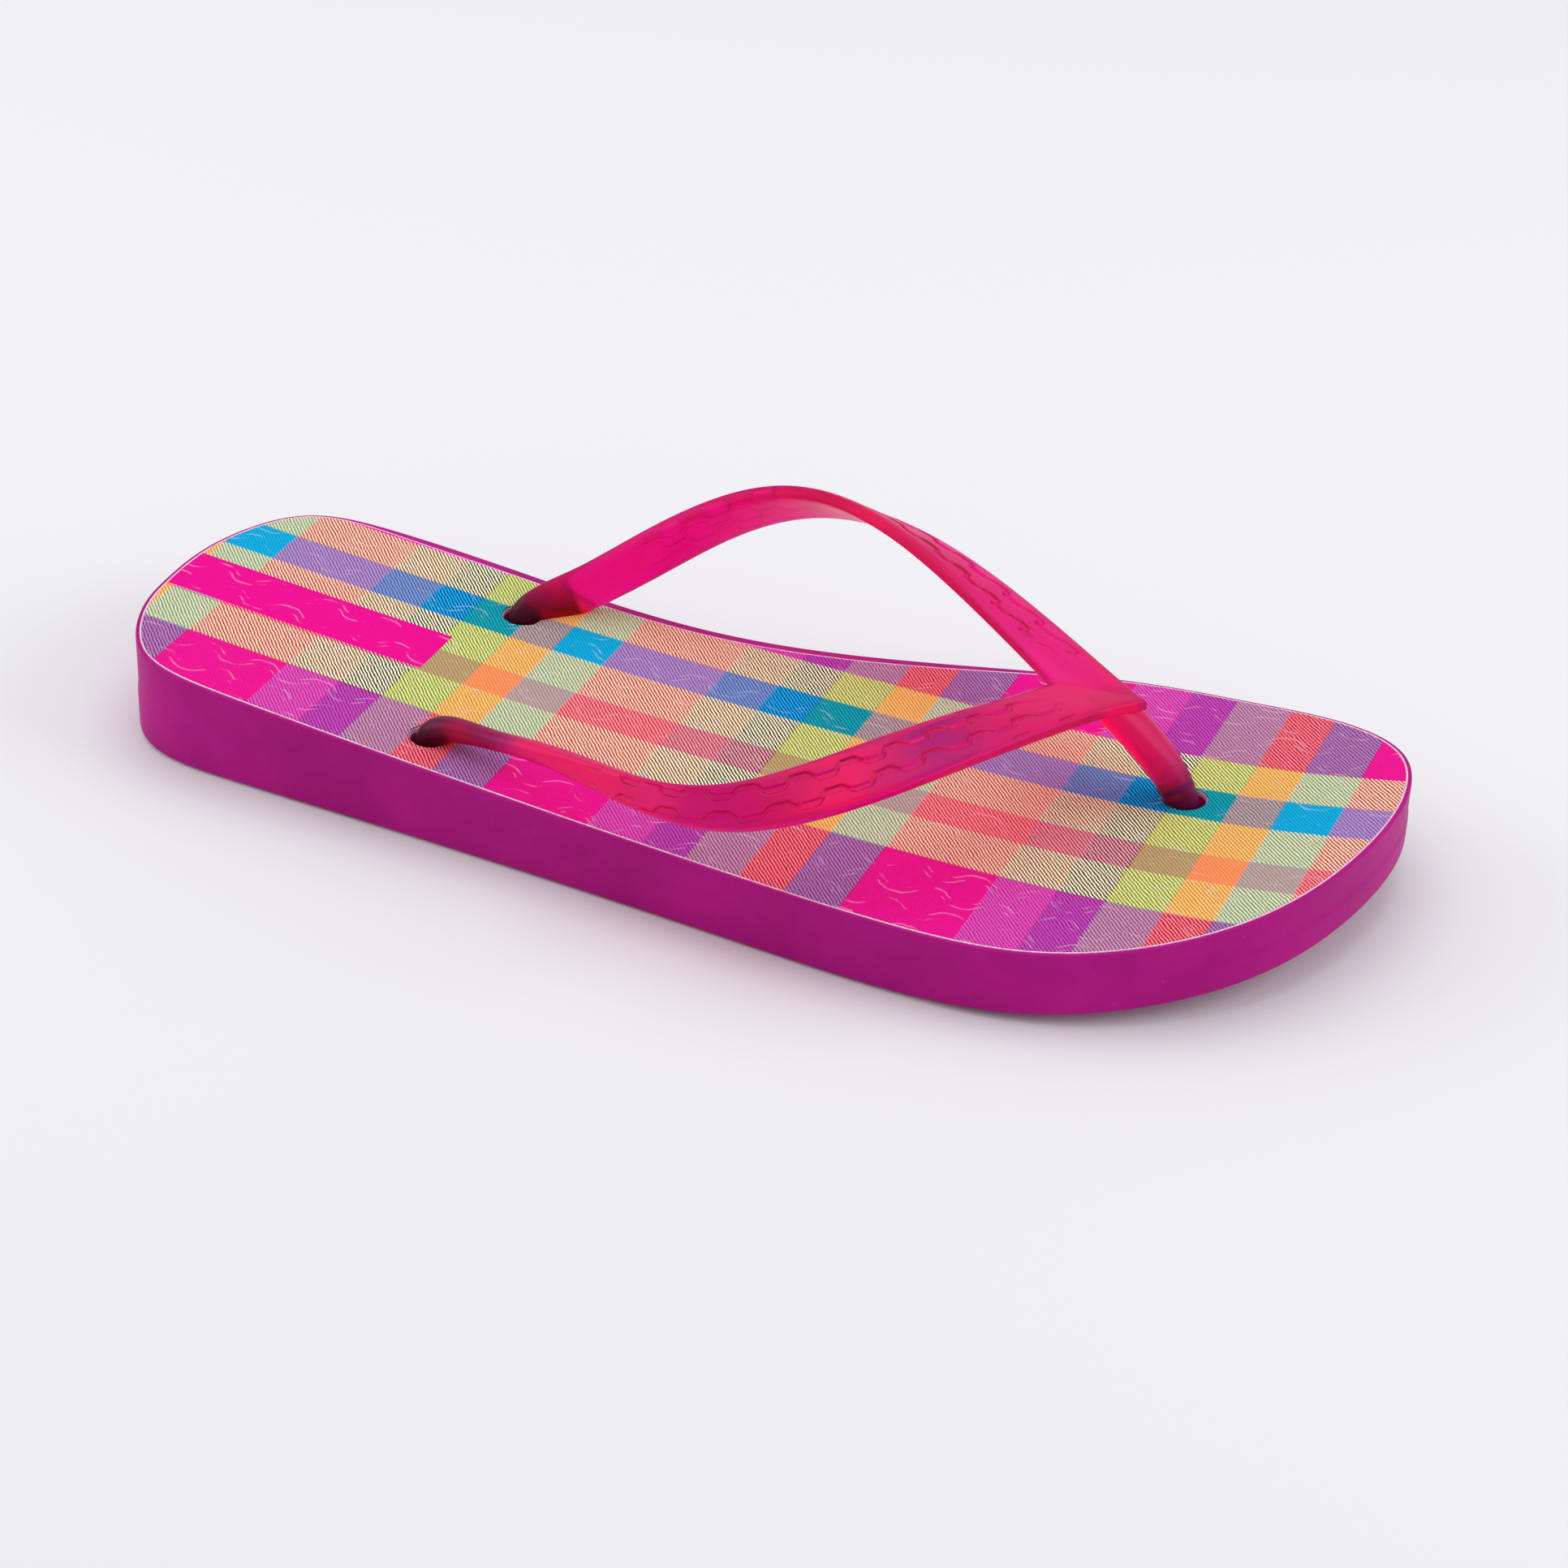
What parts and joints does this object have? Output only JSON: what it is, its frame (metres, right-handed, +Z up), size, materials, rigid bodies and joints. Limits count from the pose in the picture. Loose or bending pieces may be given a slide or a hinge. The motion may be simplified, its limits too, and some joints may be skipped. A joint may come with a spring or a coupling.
{
  "type": "thong sandal",
  "caption": "Right-foot thong sandal: moulded sole, printed plaid footbed and a translucent Y-shaped strap whose stems pass through the sole.",
  "frame": {"origin": "on the ground under the middle of the sole", "axes": "+X from heel to toe, +Y towards the inner side of the foot, +Z up"},
  "size_m": [0.2406, 0.102, 0.0456],
  "materials": {
    "sole": "satin matte magenta foam",
    "footbed": "printed multicolour plaid with fine twill lines",
    "strap": "translucent pink-red soft plastic, glossy"
  },
  "bodies": {
    "sole": {"sole": "sole", "footbed": "footbed"},
    "strap": {"toe_plug": "strap", "lateral_plug": "strap", "medial_plug": "strap", "strap_band_lateral": "strap", "strap_band_medial": "strap", "toe_post": "strap"}
  },
  "joints": [
    {"name": "strap_seating", "type": "slide", "parent": "sole", "child": "strap", "axis": [0, 0, 1], "range_m": [-0.001, 0]}
  ]
}
